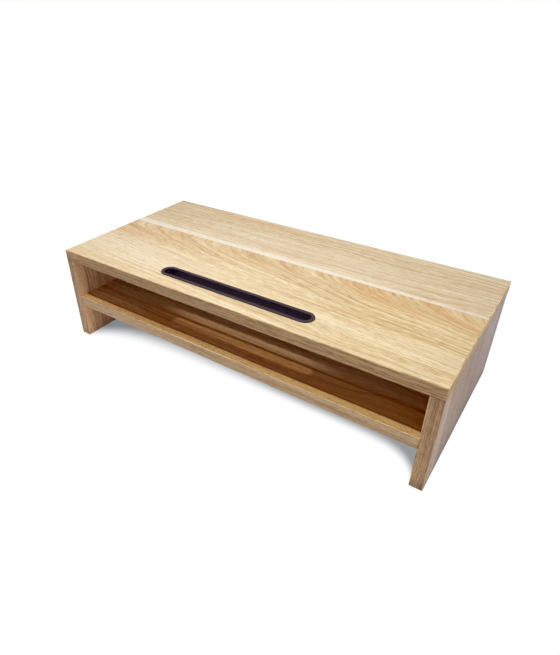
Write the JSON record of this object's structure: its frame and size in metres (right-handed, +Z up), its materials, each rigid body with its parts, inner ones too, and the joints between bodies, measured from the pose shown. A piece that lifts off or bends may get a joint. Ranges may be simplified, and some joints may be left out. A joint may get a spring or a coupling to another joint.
{
  "type": "monitor riser stand",
  "caption": "Low two-tier desk riser for a monitor: wood-look top with a lined phone slot near its front edge, side panels as legs and an open shelf between them.",
  "frame": {"origin": "centre of the footprint on the surface that the riser stands on", "axes": "+X to the right when facing the open front, +Y to the back, +Z up; the phone slot is near the -Y edge"},
  "size_m": [0.54, 0.252, 0.1414],
  "materials": {
    "top_laminate": "satin",
    "shelf_laminate": "satin",
    "side_laminate": "satin",
    "edge_band": "satin",
    "foot_pad": "matte",
    "cam_zinc": "satin",
    "bolt_steel": "satin",
    "dowel_beech": "matte",
    "slot_plastic": "matte"
  },
  "bodies": {
    "stand": {"top_panel": "top_laminate", "shelf_panel": "shelf_laminate", "left_side_panel": "side_laminate", "right_side_panel": "side_laminate", "top_front_edge_band": "edge_band", "top_back_edge_band": "edge_band", "top_left_edge_band": "edge_band", "top_right_edge_band": "edge_band", "shelf_front_edge_band": "edge_band", "shelf_back_edge_band": "edge_band", "left_side_front_edge_band": "edge_band", "left_side_back_edge_band": "edge_band", "left_side_bottom_edge_band": "edge_band", "right_side_front_edge_band": "edge_band", "right_side_back_edge_band": "edge_band", "right_side_bottom_edge_band": "edge_band", "left_front_foot_pad": "foot_pad", "left_back_foot_pad": "foot_pad", "right_front_foot_pad": "foot_pad", "right_back_foot_pad": "foot_pad", "top_joint_cam_bolts": "bolt_steel", "shelf_joint_cam_bolts": "bolt_steel", "top_joint_dowels": "dowel_beech", "shelf_joint_dowels": "dowel_beech", "slot_insert": "slot_plastic"},
    "top_left_front_cam_lock": {"top_left_front_cam_lock": "cam_zinc"},
    "top_left_back_cam_lock": {"top_left_back_cam_lock": "cam_zinc"},
    "top_right_front_cam_lock": {"top_right_front_cam_lock": "cam_zinc"},
    "top_right_back_cam_lock": {"top_right_back_cam_lock": "cam_zinc"},
    "shelf_left_front_cam_lock": {"shelf_left_front_cam_lock": "cam_zinc"},
    "shelf_left_back_cam_lock": {"shelf_left_back_cam_lock": "cam_zinc"},
    "shelf_right_front_cam_lock": {"shelf_right_front_cam_lock": "cam_zinc"},
    "shelf_right_back_cam_lock": {"shelf_right_back_cam_lock": "cam_zinc"}
  },
  "joints": [
    {"name": "top_left_front_cam_turn", "type": "hinge", "parent": "stand", "child": "top_left_front_cam_lock", "pos_m": [-0.255, -0.0755, 0.101], "axis": [1, 0, 0], "range_deg": [0, 180]},
    {"name": "top_left_back_cam_turn", "type": "hinge", "parent": "stand", "child": "top_left_back_cam_lock", "pos_m": [-0.255, 0.0705, 0.101], "axis": [1, 0, 0], "range_deg": [0, 180]},
    {"name": "top_right_front_cam_turn", "type": "hinge", "parent": "stand", "child": "top_right_front_cam_lock", "pos_m": [0.255, -0.0755, 0.101], "axis": [-1, 0, 0], "range_deg": [0, 180]},
    {"name": "top_right_back_cam_turn", "type": "hinge", "parent": "stand", "child": "top_right_back_cam_lock", "pos_m": [0.255, 0.0705, 0.101], "axis": [-1, 0, 0], "range_deg": [0, 180]},
    {"name": "shelf_left_front_cam_turn", "type": "hinge", "parent": "stand", "child": "shelf_left_front_cam_lock", "pos_m": [-0.231, -0.0755, 0.0545], "axis": [0, 0, -1], "range_deg": [0, 180]},
    {"name": "shelf_left_back_cam_turn", "type": "hinge", "parent": "stand", "child": "shelf_left_back_cam_lock", "pos_m": [-0.231, 0.0705, 0.0545], "axis": [0, 0, -1], "range_deg": [0, 180]},
    {"name": "shelf_right_front_cam_turn", "type": "hinge", "parent": "stand", "child": "shelf_right_front_cam_lock", "pos_m": [0.231, -0.0755, 0.0545], "axis": [0, 0, -1], "range_deg": [0, 180]},
    {"name": "shelf_right_back_cam_turn", "type": "hinge", "parent": "stand", "child": "shelf_right_back_cam_lock", "pos_m": [0.231, 0.0705, 0.0545], "axis": [0, 0, -1], "range_deg": [0, 180]}
  ]
}
